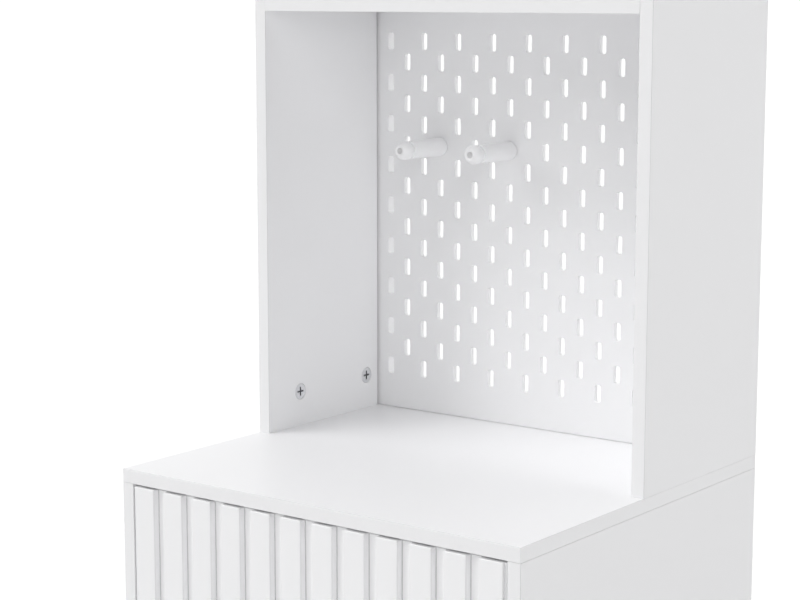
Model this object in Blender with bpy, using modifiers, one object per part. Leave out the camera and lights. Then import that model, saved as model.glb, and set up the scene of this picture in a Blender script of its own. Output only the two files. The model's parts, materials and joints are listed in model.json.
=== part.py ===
"""Hall stand with bench: a narrow white cabinet with two fluted drawers carries a tall open hutch.

The hutch has a niche with a slotted pegboard above the bench top, a shelf, and a coat bay with a peg
rail. Metres, +Z up, +X to the right, -Y to the front. The origin is the middle of the footprint, on
the floor. Each sub-part is one object; a moving piece has its origin, or its parent empty, on its axis.
"""

import math

import bmesh
import bpy
from mathutils import Matrix, Vector

# Overall sizes
WIDTH = 0.415
BENCH_DEPTH = 0.380
HUTCH_DEPTH = 0.198
SEAT_HEIGHT = 0.480
NICHE_HEIGHT = 0.392
TOTAL_HEIGHT = 1.800

# Stock and fits
BOARD = 0.012
PANEL = 0.003
HUTCH_PANEL = 0.005
EDGE_ROUNDING = 0.0008
FIT = 0.0003
PANEL_GROOVE_DEPTH = 0.005

# Cabinet under the bench
PLINTH_HEIGHT = 0.060
PLINTH_SETBACK = 0.030
CABINET_BACK_INSET = 0.010
PAD_HEIGHT = 0.003
PAD_LENGTH = 0.040
PAD_WIDTH = 0.010
PAD_SETBACK = 0.015

# Fluted drawer fronts
FRONT_THICKNESS = 0.016
FRONT_PROUD = 0.0013
FRONT_SIDE_GAP = 0.001
FRONT_TOP_GAP = 0.0032
FINGER_GAP = 0.022
FLUTE_COUNT = 11
FLUTE_WIDTH = 0.0114
FLUTE_DEPTH = 0.006
END_REBATE = 0.0032
RIB_ROUNDING = 0.001
FRONT_EDGE_ROUNDING = 0.0008

# Drawer boxes and their slides
BOX_REAR_SPACE = 0.030
BOX_TOP_DROP = 0.030
BOX_CLEARANCE = 0.006
BOX_BOTTOM_RISE = 0.010
SLIDE_THICKNESS = 0.0127
SLIDE_HEIGHT = 0.035
SLIDE_SHEET = 0.0012
SLIDE_RISE = 0.045
SLIDE_FRONT_SETBACK = 0.004
SLIDE_REAR_SETBACK = 0.016
SLIDE_PLAY = 0.0004
SLIDE_REACH = 0.0105

# Pegboard, held in grooves of the hutch sides in front of a wall space
WALL_SPACE = 0.025
GROOVE_PLAY = 0.0027
SLOT_WIDTH = 0.0065
SLOT_HEIGHT = 0.0162
SLOT_PITCH = 0.020
SLOT_SIDE_MARGIN = 0.015
SLOT_END_MARGIN = 0.040
PEG_COLUMNS = {"left": 3, "right": 7}
PEG_ROW = 5

# Turned pegs
PEG_LENGTH = 0.066
PEG_BASE_RADIUS = 0.0088
PEG_TAPER = 0.0004
PEG_BASE_ROUNDING = 0.0015
BALL_RADIUS = 0.0090
NECK_RADIUS = 0.0070
NECK_WIDTH = 0.0014
DIMPLE_RADIUS = 0.0030
DIMPLE_DEPTH = 0.0030
STUD_RADIUS = 0.0027
STUD_SOCKET = 0.012
STUD_BAR_LENGTH = 0.0145
STUD_BAR_WIDTH = 0.0055
STUD_BAR_THICKNESS = 0.003

# Coat rail with longer pegs, in the upper bay
RAIL_HEIGHT = 0.090
RAIL_DROP = 0.060
COAT_PEG_LENGTH = 0.078
COAT_PEG_SPACING = 0.120
TENON_RADIUS = 0.005
TENON_LENGTH = 0.009

# Cam locks in the hutch sides and the shelf, and the wall brackets
CAM_RADIUS = 0.0075
CAM_DEPTH = 0.009
CAM_FRONT_SETBACK = 0.046
CAM_REAR_SETBACK = 0.148
CAM_INSET = 0.033
CAM_CROSS_LENGTH = 0.0105
CAM_CROSS_WIDTH = 0.0022
CAM_CROSS_DEPTH = 0.0022
BRACKET_WIDTH = 0.020
BRACKET_SHEET = 0.002
BRACKET_DROP = 0.034
BRACKET_HOLE_RADIUS = 0.003
BRACKET_SPREAD = 0.120

# Places worked out from the sizes above
HALF_WIDTH = WIDTH / 2
INNER = HALF_WIDTH - BOARD
FRONT = -BENCH_DEPTH / 2
CARCASS_FRONT = FRONT + FRONT_PROUD
REAR = BENCH_DEPTH / 2
HUTCH_FRONT = REAR - HUTCH_DEPTH
BENCH_UNDERSIDE = SEAT_HEIGHT - BOARD
SHELF_UNDERSIDE = SEAT_HEIGHT + NICHE_HEIGHT
SHELF_TOP = SHELF_UNDERSIDE + BOARD
TOP_UNDERSIDE = TOTAL_HEIGHT - BOARD
PANEL_BACK = REAR - WALL_SPACE
PANEL_FRONT = PANEL_BACK - HUTCH_PANEL
PANEL_HALF_WIDTH = INNER + PANEL_GROOVE_DEPTH - FIT
CABINET_BACK_REAR = REAR - CABINET_BACK_INSET
CABINET_BACK_FRONT = CABINET_BACK_REAR - PANEL
SIDES = {"left": -1, "right": 1}
CAM_ROWS = {"front": HUTCH_FRONT + CAM_FRONT_SETBACK, "rear": HUTCH_FRONT + CAM_REAR_SETBACK}

ALONG_Y = (math.radians(90), 0, 0)
ALONG_X = (math.radians(90), 0, math.radians(90))
ROUND_SIDES = 16

for old in list(bpy.data.objects):
    bpy.data.objects.remove(old)

stand = bpy.data.collections.new("hall_stand_with_bench")
cutters = bpy.data.collections.new("hall_stand_cutters")
for group in (stand, cutters):
    bpy.context.scene.collection.children.link(group)


def material(name, colour, roughness, metallic=0.0):
    """A plain finish: one Principled BSDF with its colour, roughness and metallic value."""
    finish = bpy.data.materials.new(name)
    finish.use_nodes = True
    shader = finish.node_tree.nodes["Principled BSDF"]
    shader.inputs["Base Color"].default_value = (*colour, 1)
    shader.inputs["Roughness"].default_value = roughness
    shader.inputs["Metallic"].default_value = metallic
    return finish


WHITE_BOARD = material("white_faced_board", (0.84, 0.84, 0.85), 0.30)
WHITE_PANEL = material("white_hardboard", (0.80, 0.80, 0.81), 0.42)
WHITE_LACQUER = material("white_lacquer", (0.82, 0.82, 0.83), 0.35)
WHITE_PEG = material("white_painted_beech", (0.82, 0.82, 0.82), 0.38)
ZINC = material("zinc_plated_steel", (0.55, 0.56, 0.57), 0.35, 1.0)
CAM_ZINC = material("die_cast_zinc", (0.50, 0.51, 0.52), 0.45, 1.0)
PLASTIC = material("white_plastic", (0.78, 0.78, 0.78), 0.5)


def link(data, name, finish, parent=None):
    """A new part for this mesh or curve, with its finish, that moves with its parent empty if it has one."""
    part = bpy.data.objects.new(name, data)
    data.materials.append(finish)
    stand.objects.link(part)
    if parent is not None:
        part.parent = parent
        part.matrix_parent_inverse = Matrix.Translation(parent.location).inverted()
    return part


def box_mesh(name, size):
    """A closed box of this size around its own origin."""
    mesh = bpy.data.meshes.new(name)
    bm = bmesh.new()
    bmesh.ops.create_cube(bm, size=1)
    bmesh.ops.scale(bm, vec=size, verts=bm.verts)
    bm.to_mesh(mesh)
    bm.free()
    return mesh


def cylinder_mesh(name, radius, length, sides=ROUND_SIDES):
    """A closed cylinder along its own Z, around its own origin."""
    mesh = bpy.data.meshes.new(name)
    bm = bmesh.new()
    bmesh.ops.create_cone(bm, cap_ends=True, segments=sides, radius1=radius, radius2=radius, depth=length)
    bm.to_mesh(mesh)
    bm.free()
    return mesh


def board(name, low, high, finish, parent=None, rounding=EDGE_ROUNDING):
    """A cut board between two corners, with its edges eased."""
    low, high = Vector(low), Vector(high)
    part = link(box_mesh(name, high - low), name, finish, parent)
    part.location = (low + high) / 2
    ease = part.modifiers.new("eased_edges", "BEVEL")
    ease.width = rounding
    ease.segments = 1
    return part


def cut(part, mesh, location, rotation=(0, 0, 0), operation="DIFFERENCE"):
    """Take a cutter's shape away from a part, or add it with operation UNION."""
    cutter = bpy.data.objects.new(mesh.name, mesh)
    cutters.objects.link(cutter)
    cutter.location = location
    cutter.rotation_euler = rotation
    cutter.hide_render = True
    cutter.display_type = "WIRE"
    step = part.modifiers.new(mesh.name, "BOOLEAN")
    step.operation = operation
    step.object = cutter
    return cutter


def cut_box(part, name, low, high, operation="DIFFERENCE"):
    """Cut a box between two corners."""
    low, high = Vector(low), Vector(high)
    return cut(part, box_mesh(name, high - low), (low + high) / 2, operation=operation)


def extrusion(name, loops, length, location, rotation, finish, parent=None, rounding=0.0):
    """A flat outline, with any holes, drawn out along its own Z to this length, around its location.

    A rounding eases both end faces all along the outline and stays inside it.
    """
    outline = bpy.data.curves.new(name, "CURVE")
    outline.dimensions = "2D"
    outline.fill_mode = "BOTH"
    for points in loops:
        spline = outline.splines.new("POLY")
        spline.points.add(len(points) - 1)
        for point, (x, y) in zip(spline.points, points):
            point.co = (x, y, 0, 1)
        spline.use_cyclic_u = True
    outline.extrude = length / 2 - rounding
    outline.bevel_depth = rounding
    outline.bevel_resolution = 1
    outline.offset = -rounding
    part = link(outline, name, finish, parent)
    part.location = location
    part.rotation_euler = rotation
    return part


def as_mesh(part):
    """Turn an outline into a mesh with its caps welded on, so that it can be cut."""
    bpy.context.view_layer.update()
    seen = part.evaluated_get(bpy.context.evaluated_depsgraph_get())
    mesh = bpy.data.meshes.new_from_object(seen)
    bm = bmesh.new()
    bm.from_mesh(mesh)
    bmesh.ops.remove_doubles(bm, verts=bm.verts, dist=1e-6)
    bm.to_mesh(mesh)
    bm.free()
    name = part.name
    place = part.matrix_world.copy()
    bpy.data.objects.remove(part)
    solid = bpy.data.objects.new(name, mesh)
    stand.objects.link(solid)
    solid.matrix_world = place
    return solid


def arc(centre, radius, start, end, steps):
    """Points along an arc in degrees, both ends included."""
    angles = [math.radians(start + (end - start) * i / steps) for i in range(steps + 1)]
    return [(centre[0] + radius * math.cos(a), centre[1] + radius * math.sin(a)) for a in angles]


def rectangle(low, high):
    return [low, (high[0], low[1]), high, (low[0], high[1])]


def slot_outline(x, y, width, height, steps):
    """An upright slot with round ends about its middle."""
    rise = (height - width) / 2
    top = arc((x, y + rise), width / 2, 0, 180, steps)
    return top + arc((x, y - rise), width / 2, 180, 360, steps)


def turned(name, profile, location, rotation, finish, parent=None):
    """A turned piece: points of radius and height, from its top down its outer side, spun about its own Z."""
    mesh = bpy.data.meshes.new(name)
    bm = bmesh.new()
    points = [bm.verts.new((radius, 0, height)) for radius, height in profile]
    for first, second in zip(points, points[1:]):
        bm.edges.new((first, second))
    bm.to_mesh(mesh)
    bm.free()
    part = link(mesh, name, finish, parent)
    part.location = location
    part.rotation_euler = rotation
    spin = part.modifiers.new("turning", "SCREW")
    spin.steps = spin.render_steps = ROUND_SIDES
    spin.use_merge_vertices = True
    spin.merge_threshold = 1e-5
    spin.use_smooth_shade = True
    return part


def travel_empty(name, location):
    """The place of a joint, which its moving pieces are parented to."""
    empty = bpy.data.objects.new(name, None)
    stand.objects.link(empty)
    empty.location = location
    return empty


def make_cabinet():
    """The carcass under the bench: sides under the top, a bottom and plinth boards between them, a back."""
    board(
        "bench_top",
        (-HALF_WIDTH, CARCASS_FRONT, BENCH_UNDERSIDE),
        (HALF_WIDTH, REAR, SEAT_HEIGHT),
        WHITE_BOARD,
    )
    side_top = BENCH_UNDERSIDE - FIT
    for hand, sign in SIDES.items():
        name = f"cabinet_side_{hand}"
        across = sorted((sign * HALF_WIDTH, sign * INNER))
        side = board(name, (across[0], CARCASS_FRONT, PAD_HEIGHT), (across[1], REAR, side_top), WHITE_BOARD)
        groove = sorted((sign * (INNER + PANEL_GROOVE_DEPTH), sign * (INNER - BOARD)))
        cut_box(
            side,
            f"{name}_groove",
            (groove[0], CABINET_BACK_FRONT - FIT, 0),
            (groove[1], CABINET_BACK_REAR + FIT, SEAT_HEIGHT),
        )
        for end, y in (
            ("front", FRONT + PAD_SETBACK + PAD_LENGTH / 2),
            ("rear", REAR - PAD_SETBACK - PAD_LENGTH / 2),
        ):
            extrusion(
                f"foot_pad_{end}_{hand}",
                [slot_outline(0, 0, PAD_WIDTH, PAD_LENGTH, steps=6)],
                PAD_HEIGHT - FIT,
                (sign * (HALF_WIDTH - BOARD / 2), y, (PAD_HEIGHT - FIT) / 2),
                (0, 0, 0),
                PLASTIC,
            )
    between = INNER - FIT
    board(
        "cabinet_bottom",
        (-between, FRONT + FRONT_THICKNESS + FIT, PLINTH_HEIGHT),
        (between, CABINET_BACK_FRONT - FIT, PLINTH_HEIGHT + BOARD),
        WHITE_BOARD,
    )
    plinth_top = PLINTH_HEIGHT - FIT
    for end, y in (("front", FRONT + PLINTH_SETBACK), ("rear", CABINET_BACK_FRONT - FIT - BOARD)):
        name = f"plinth_board_{end}"
        board(name, (-between, y, PAD_HEIGHT), (between, y + BOARD, plinth_top), WHITE_BOARD)
    board(
        "cabinet_back",
        (-PANEL_HALF_WIDTH, CABINET_BACK_FRONT, PLINTH_HEIGHT),
        (PANEL_HALF_WIDTH, CABINET_BACK_REAR, side_top),
        WHITE_PANEL,
        rounding=EDGE_ROUNDING / 2,
    )


def fluted_outline(width):
    """Plan of a fluted front: ribs along its front edge at y = 0, a rebate at both ends, and a flat back."""
    half = width / 2
    rib = (width - 2 * END_REBATE - FLUTE_COUNT * FLUTE_WIDTH) / (FLUTE_COUNT + 1)
    points = [(-half, FRONT_THICKNESS), (-half, FLUTE_DEPTH)]
    for i in range(FLUTE_COUNT + 1):
        left = END_REBATE - half + i * (rib + FLUTE_WIDTH)
        right = left + rib
        points.append((left, FLUTE_DEPTH))
        points += arc((left + RIB_ROUNDING, RIB_ROUNDING), RIB_ROUNDING, 180, 270, 2)
        points += arc((right - RIB_ROUNDING, RIB_ROUNDING), RIB_ROUNDING, 270, 360, 2)
        points.append((right, FLUTE_DEPTH))
    return points + [(half, FLUTE_DEPTH), (half, FRONT_THICKNESS)]


def channel_outline(web, tip, height):
    """Section of a slide member: a web at x = web, with flanges of sheet that reach to x = tip."""
    inside = web + math.copysign(SLIDE_SHEET, tip - web)
    half = height / 2
    inner_half = half - SLIDE_SHEET
    return [
        (web, -half),
        (tip, -half),
        (tip, -inner_half),
        (inside, -inner_half),
        (inside, inner_half),
        (tip, inner_half),
        (tip, half),
        (web, half),
    ]


def make_drawer(level, bottom, top):
    """One drawer: a fluted front, a box on it, and a two-member slide on each side."""
    name = f"drawer_{level}"
    travel = travel_empty(f"{name}_travel", (0, FRONT, (bottom + top) / 2))
    width = 2 * (INNER - FRONT_SIDE_GAP)
    extrusion(
        f"{name}_front",
        [fluted_outline(width)],
        top - bottom,
        (0, FRONT, (bottom + top) / 2),
        (0, 0, 0),
        WHITE_LACQUER,
        travel,
        rounding=FRONT_EDGE_ROUNDING,
    )
    box_half = INNER - SLIDE_THICKNESS
    inside = box_half - BOARD
    box_front = FRONT + FRONT_THICKNESS + FIT
    box_rear = CABINET_BACK_FRONT - BOX_REAR_SPACE
    box_bottom = bottom + BOARD + BOX_CLEARANCE
    box_top = top - BOX_TOP_DROP
    floor_low = box_bottom + BOX_BOTTOM_RISE
    floor_high = floor_low + PANEL
    slide_z = box_bottom + SLIDE_RISE
    slide_front = box_front + SLIDE_FRONT_SETBACK
    slide_rear = box_rear - SLIDE_REAR_SETBACK
    slide_length = slide_rear - slide_front
    slide_y = (slide_front + slide_rear) / 2
    for hand, sign in SIDES.items():
        across = sorted((sign * inside, sign * box_half))
        side = board(
            f"{name}_side_{hand}",
            (across[0], box_front, box_bottom),
            (across[1], box_rear, box_top),
            WHITE_BOARD,
            travel,
        )
        groove = sorted((sign * (inside + PANEL_GROOVE_DEPTH), sign * (inside - BOARD)))
        cut_box(
            side,
            f"{name}_{hand}_groove",
            (groove[0], box_front - BOARD, floor_low - FIT),
            (groove[1], box_rear + BOARD, floor_high + FIT),
        )
        fixed_web = sign * (INNER - FIT)
        fixed_tip = sign * (INNER - SLIDE_REACH)
        extrusion(
            f"slide_{level}_{hand}_cabinet",
            [channel_outline(fixed_web, fixed_tip, SLIDE_HEIGHT)],
            slide_length,
            (0, slide_y, slide_z),
            ALONG_Y,
            ZINC,
        )
        moving_web = sign * (box_half + FIT)
        moving_tip = sign * (box_half + SLIDE_REACH)
        extrusion(
            f"slide_{level}_{hand}_drawer",
            [channel_outline(moving_web, moving_tip, SLIDE_HEIGHT - 2 * (SLIDE_SHEET + SLIDE_PLAY))],
            slide_length,
            (0, slide_y, slide_z),
            ALONG_Y,
            ZINC,
            travel,
        )
    between = inside - FIT
    board(
        f"{name}_back",
        (-between, box_rear - BOARD, floor_high + FIT),
        (between, box_rear, box_top),
        WHITE_BOARD,
        travel,
    )
    floor_half = inside + PANEL_GROOVE_DEPTH - FIT
    board(
        f"{name}_bottom",
        (-floor_half, box_front, floor_low),
        (floor_half, box_rear, floor_high),
        WHITE_PANEL,
        travel,
        rounding=EDGE_ROUNDING / 2,
    )


def make_drawers():
    """Two equal drawers over each other, with a finger gap between their fronts as the grip."""
    low = PLINTH_HEIGHT
    high = BENCH_UNDERSIDE - FRONT_TOP_GAP
    front_height = (high - low - FINGER_GAP) / 2
    make_drawer("lower", low, low + front_height)
    make_drawer("upper", high - front_height, high)


def make_hutch():
    """The tall open frame on the bench: sides, shelf, top and the plain panel behind the coat bay."""
    groove_front = PANEL_FRONT - GROOVE_PLAY
    groove_rear = PANEL_BACK + FIT
    low = SEAT_HEIGHT + FIT
    high = TOP_UNDERSIDE - FIT
    for hand, sign in SIDES.items():
        name = f"hutch_side_{hand}"
        across = sorted((sign * HALF_WIDTH, sign * INNER))
        side = board(name, (across[0], HUTCH_FRONT, low), (across[1], REAR, high), WHITE_BOARD)
        groove = sorted((sign * (INNER + PANEL_GROOVE_DEPTH), sign * (INNER - BOARD)))
        cut_box(
            side,
            f"{name}_groove",
            (groove[0], groove_front, SEAT_HEIGHT - BOARD),
            (groove[1], groove_rear, TOTAL_HEIGHT),
        )
        for level, z in (("lower", SEAT_HEIGHT + CAM_INSET), ("upper", TOP_UNDERSIDE - CAM_INSET)):
            for end, y in CAM_ROWS.items():
                make_cam(side, f"{level}_{end}_{hand}", (sign * INNER, y, z), (sign, 0, 0))
    between = INNER - FIT
    shelf = board(
        "niche_shelf",
        (-between, HUTCH_FRONT, SHELF_UNDERSIDE),
        (between, PANEL_FRONT - FIT, SHELF_TOP),
        WHITE_BOARD,
    )
    for hand, sign in SIDES.items():
        x = sign * (between - CAM_INSET)
        for end, y in CAM_ROWS.items():
            make_cam(shelf, f"shelf_{end}_{hand}", (x, y, SHELF_UNDERSIDE), (0, 0, 1))
    board(
        "top_board",
        (-HALF_WIDTH, HUTCH_FRONT, TOP_UNDERSIDE),
        (HALF_WIDTH, REAR, TOTAL_HEIGHT),
        WHITE_BOARD,
    )
    board(
        "upper_back_panel",
        (-PANEL_HALF_WIDTH, PANEL_FRONT, SHELF_TOP + FIT),
        (PANEL_HALF_WIDTH, PANEL_BACK, high),
        WHITE_PANEL,
        rounding=EDGE_ROUNDING / 2,
    )


def make_cam(carrier, place, middle, inward):
    """A cam lock with a cross recess, flush in its pocket in a board; inward points into the board."""
    name = f"cam_lock_{place}"
    middle, inward = Vector(middle), Vector(inward)
    turn = Vector((0, 0, 1)).rotation_difference(inward).to_euler()
    pocket = cylinder_mesh(f"{name}_pocket", CAM_RADIUS + FIT, 2 * (CAM_DEPTH + FIT))
    cut(carrier, pocket, middle, turn)
    cam = link(cylinder_mesh(name, CAM_RADIUS, CAM_DEPTH), name, CAM_ZINC)
    cam.location = middle + inward * CAM_DEPTH / 2
    cam.rotation_euler = turn
    recess_depth = 2 * CAM_CROSS_DEPTH
    for arm, size in (
        ("long", (CAM_CROSS_LENGTH, CAM_CROSS_WIDTH, recess_depth)),
        ("cross", (CAM_CROSS_WIDTH, CAM_CROSS_LENGTH, recess_depth)),
    ):
        cut(cam, box_mesh(f"{name}_{arm}_recess", size), middle, turn)


def slot_grid(width, height):
    """Middles of a staggered grid of slots on a panel about (0, 0), and its first column and row."""
    columns = int((width - 2 * SLOT_SIDE_MARGIN) / SLOT_PITCH) + 1
    rows = int((height - 2 * SLOT_END_MARGIN) / SLOT_PITCH) + 1
    first_x = -(columns - 1) * SLOT_PITCH / 2
    first_y = (rows - 1) * SLOT_PITCH / 2
    middles = [
        (first_x + column * SLOT_PITCH, first_y - row * SLOT_PITCH)
        for column in range(columns)
        for row in range(rows)
        if (column + row) % 2 == 0
    ]
    return middles, first_x, first_y


def make_pegboard():
    """The slotted hardboard panel of the niche, and the twist-lock pegs in two of its slots."""
    low = SEAT_HEIGHT + FIT
    height = SHELF_TOP - low
    middle = (0, PANEL_FRONT + HUTCH_PANEL / 2, low + height / 2)
    middles, first_x, first_y = slot_grid(2 * INNER, height)
    loops = [rectangle((-PANEL_HALF_WIDTH, -height / 2), (PANEL_HALF_WIDTH, height / 2))]
    loops += [slot_outline(x, y, SLOT_WIDTH, SLOT_HEIGHT, steps=3) for x, y in middles]
    extrusion("pegboard", loops, HUTCH_PANEL, middle, ALONG_Y, WHITE_PANEL)
    for hand, column in PEG_COLUMNS.items():
        x = first_x + column * SLOT_PITCH
        z = middle[2] + first_y - PEG_ROW * SLOT_PITCH
        make_slot_peg(hand, x, z)


def peg_profile(length, end):
    """A tapered peg with a ball end, from its dimpled tip down its side; end closes it at the base."""
    ball_middle = length - BALL_RADIUS
    dimple_angle = math.degrees(math.acos(DIMPLE_RADIUS / BALL_RADIUS))
    neck_angle = -math.degrees(math.acos(NECK_RADIUS / BALL_RADIUS))
    ball = arc((0, ball_middle), BALL_RADIUS, dimple_angle, neck_angle, 8)
    shoulder = ball[-1][1] - NECK_WIDTH
    shoulder_radius = PEG_BASE_RADIUS - PEG_TAPER
    profile = [(0, ball[0][1] - DIMPLE_DEPTH)] + ball
    profile += [(NECK_RADIUS, shoulder), (shoulder_radius, shoulder - (shoulder_radius - NECK_RADIUS) / 2)]
    base = arc(
        (PEG_BASE_RADIUS - PEG_BASE_ROUNDING, PEG_BASE_ROUNDING), PEG_BASE_ROUNDING, 0, -90, 2
    )
    return profile + base + end


def make_slot_peg(hand, x, z):
    """A peg on the pegboard and its stud, whose bar locks behind the slot and turns with the peg."""
    axis = travel_empty(f"peg_{hand}_axis", (x, PANEL_FRONT, z))
    socket_radius = STUD_RADIUS + FIT
    socket = [(socket_radius, 0), (socket_radius, STUD_SOCKET + FIT), (0, STUD_SOCKET + FIT)]
    turned(
        f"peg_{hand}",
        peg_profile(PEG_LENGTH, socket),
        (x, PANEL_FRONT - FIT, z),
        ALONG_Y,
        WHITE_PEG,
        axis,
    )
    name = f"peg_{hand}_stud"
    bar_front = PANEL_BACK + FIT
    shank_start = PANEL_FRONT - FIT - STUD_SOCKET
    shank_end = bar_front + STUD_BAR_THICKNESS / 2
    stud = link(cylinder_mesh(name, STUD_RADIUS, shank_end - shank_start, 12), name, PLASTIC, axis)
    stud.location = (x, (shank_start + shank_end) / 2, z)
    stud.rotation_euler = ALONG_Y
    bar_half = (STUD_BAR_LENGTH / 2, STUD_BAR_WIDTH / 2)
    cut_box(
        stud,
        f"{name}_bar",
        (x - bar_half[0], bar_front, z - bar_half[1]),
        (x + bar_half[0], bar_front + STUD_BAR_THICKNESS, z + bar_half[1]),
        "UNION",
    )


def make_coat_rail():
    """A rail between the hutch sides with three turned coat pegs glued into it."""
    rear = PANEL_FRONT - FIT
    front = rear - BOARD
    high = TOP_UNDERSIDE - RAIL_DROP
    low = high - RAIL_HEIGHT
    between = INNER - FIT
    rail = board("coat_rail", (-between, front, low), (between, rear, high), WHITE_BOARD)
    z = (low + high) / 2
    for place, step in (("left", -1), ("middle", 0), ("right", 1)):
        name = f"coat_peg_{place}"
        x = step * COAT_PEG_SPACING
        bore_length = 2 * (TENON_LENGTH + FIT)
        cut(rail, cylinder_mesh(f"{name}_bore", TENON_RADIUS + FIT, bore_length), (x, front, z), ALONG_Y)
        tenon = [(TENON_RADIUS, 0), (TENON_RADIUS, -TENON_LENGTH), (0, -TENON_LENGTH)]
        turned(name, peg_profile(COAT_PEG_LENGTH, tenon), (x, front - FIT, z), ALONG_Y, WHITE_PEG)


def make_wall_brackets():
    """Two steel angles under the top board, behind the panel, that take the wall screws."""
    high = TOP_UNDERSIDE - FIT
    low = high - BRACKET_DROP
    front = PANEL_BACK + FIT
    section = [
        (front, high),
        (front, high - BRACKET_SHEET),
        (REAR - BRACKET_SHEET, high - BRACKET_SHEET),
        (REAR - BRACKET_SHEET, low),
        (REAR, low),
        (REAR, high),
    ]
    for hand, sign in SIDES.items():
        name = f"wall_bracket_{hand}"
        x = sign * BRACKET_SPREAD
        bracket = as_mesh(extrusion(name, [section], BRACKET_WIDTH, (x, 0, 0), ALONG_X, ZINC))
        hole = cylinder_mesh(f"{name}_hole", BRACKET_HOLE_RADIUS, 4 * BRACKET_SHEET)
        cut(bracket, hole, (x, REAR - BRACKET_SHEET / 2, (low + high - BRACKET_SHEET) / 2), ALONG_Y)


make_cabinet()
make_drawers()
make_hutch()
make_pegboard()
make_coat_rail()
make_wall_brackets()
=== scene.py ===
# %% [markdown]
# # A hall stand with a bench, dressed for its picture
#
# The stand is flat-pack furniture: faced boards, two fluted drawers under a bench, and a tall open hutch
# with a slotted pegboard. The frame that is loaded here has every piece at its real size and place, but
# with plain facets and plain colours. This lesson models the pieces again with the roundings that catch the
# light, gives each one its finish, and hands it to the body that carries it.

# %% Load the frame
import json
import math

import bmesh
import bpy
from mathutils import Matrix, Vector

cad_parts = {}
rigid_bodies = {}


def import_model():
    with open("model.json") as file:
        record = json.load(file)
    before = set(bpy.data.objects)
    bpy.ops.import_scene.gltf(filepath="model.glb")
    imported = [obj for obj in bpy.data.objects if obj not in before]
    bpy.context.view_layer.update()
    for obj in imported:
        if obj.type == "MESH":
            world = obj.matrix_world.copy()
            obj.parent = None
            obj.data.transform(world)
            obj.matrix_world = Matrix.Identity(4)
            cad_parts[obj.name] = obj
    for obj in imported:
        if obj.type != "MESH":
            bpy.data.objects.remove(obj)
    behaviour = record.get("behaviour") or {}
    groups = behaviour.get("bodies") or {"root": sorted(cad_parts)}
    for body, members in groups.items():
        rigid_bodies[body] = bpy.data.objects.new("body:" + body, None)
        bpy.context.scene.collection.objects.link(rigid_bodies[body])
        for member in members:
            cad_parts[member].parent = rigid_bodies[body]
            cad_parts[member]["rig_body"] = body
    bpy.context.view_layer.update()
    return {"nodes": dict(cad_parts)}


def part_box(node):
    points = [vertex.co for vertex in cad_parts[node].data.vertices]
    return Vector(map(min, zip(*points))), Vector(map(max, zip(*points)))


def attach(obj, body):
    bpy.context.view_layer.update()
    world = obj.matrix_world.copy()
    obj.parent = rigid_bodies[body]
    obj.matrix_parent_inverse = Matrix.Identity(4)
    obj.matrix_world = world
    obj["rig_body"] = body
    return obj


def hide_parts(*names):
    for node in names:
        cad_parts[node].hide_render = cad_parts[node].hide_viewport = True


for leftover in list(bpy.data.objects):
    bpy.data.objects.remove(leftover)
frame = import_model()

# %% [markdown]
# ## The camera
#
# The picture looks down on the bench a little from the right, with a long lens, so that upright edges stay
# almost upright. Place, drop, turn and lens were fitted to the bench's corners and the grid of slots. A
# camera could also be aimed at a target by a constraint, but a place and two angles are easier to read
# back.

# %% Place the camera
CAMERA_PLACE = (0.9990, -1.3844, 0.8896)
CAMERA_DROP = math.radians(8.842)
CAMERA_TURN = math.radians(37.099)
CAMERA_LENS = 89.25
FAR_CLIP = 1000.0

bpy.ops.object.camera_add(location=CAMERA_PLACE, rotation=(math.radians(90) - CAMERA_DROP, 0, CAMERA_TURN))
camera = bpy.context.object
camera.name = "picture_camera"
camera.data.lens = CAMERA_LENS
camera.data.clip_end = FAR_CLIP
bpy.context.scene.camera = camera
print(f"camera: {CAMERA_LENS} mm lens, {Vector(CAMERA_PLACE).length:.2f} m from the middle of the footprint")

# %% [markdown]
# ## Nodes by name
#
# Materials, the floor and the sky are all built from shader nodes. Two small helpers keep that readable:
# one adds a node with its options and plain values, the other joins an output to an input by their names.

# %% Helpers for shader nodes
def add(tree, kind, values=(), **options):
    """A new node in a tree, with its options and the plain values of its inputs."""
    made = tree.nodes.new(kind)
    for option, choice in options.items():
        setattr(made, option, choice)
    for socket, value in dict(values).items():
        made.inputs[socket].default_value = value
    return made


def join(tree, giver, output, taker, socket):
    """Join a node's output to another node's input; both are named or numbered."""
    tree.links.new(giver.outputs[output], taker.inputs[socket])


def seen_rays(tree):
    """One for rays that show a surface: straight from the camera, in a reflection or through glass."""
    path = add(tree, "ShaderNodeLightPath")
    mirrored = add(tree, "ShaderNodeMath", operation="MAXIMUM")
    join(tree, path, "Is Glossy Ray", mirrored, 0)
    join(tree, path, "Is Transmission Ray", mirrored, 1)
    seen = add(tree, "ShaderNodeMath", operation="MAXIMUM")
    join(tree, path, "Is Camera Ray", seen, 0)
    join(tree, mirrored, 0, seen, 1)
    return seen


print("helpers ready: add, join, seen_rays")

# %% [markdown]
# ## The floor
#
# The stand is shown on white. A floor that is only painted white would come out grey, because no paint
# sends all its light back. So the floor is a pale matt paint that takes the stand's shadow, with a faint
# glow on top that only rays to the eye can see. The glow lifts the open floor to white and lights nothing.

# %% Lay the floor
FLOOR_SPAN = 600.0
FLOOR_DROP = 0.0002
FLOOR_PAINT = (0.80, 0.80, 0.80, 1)
FLOOR_GLOW = 0.27
WHITE = (1, 1, 1, 1)

bpy.ops.mesh.primitive_plane_add(size=FLOOR_SPAN, location=(0, 0, -FLOOR_DROP))
floor = bpy.context.object
floor.name = "studio_floor"

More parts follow.
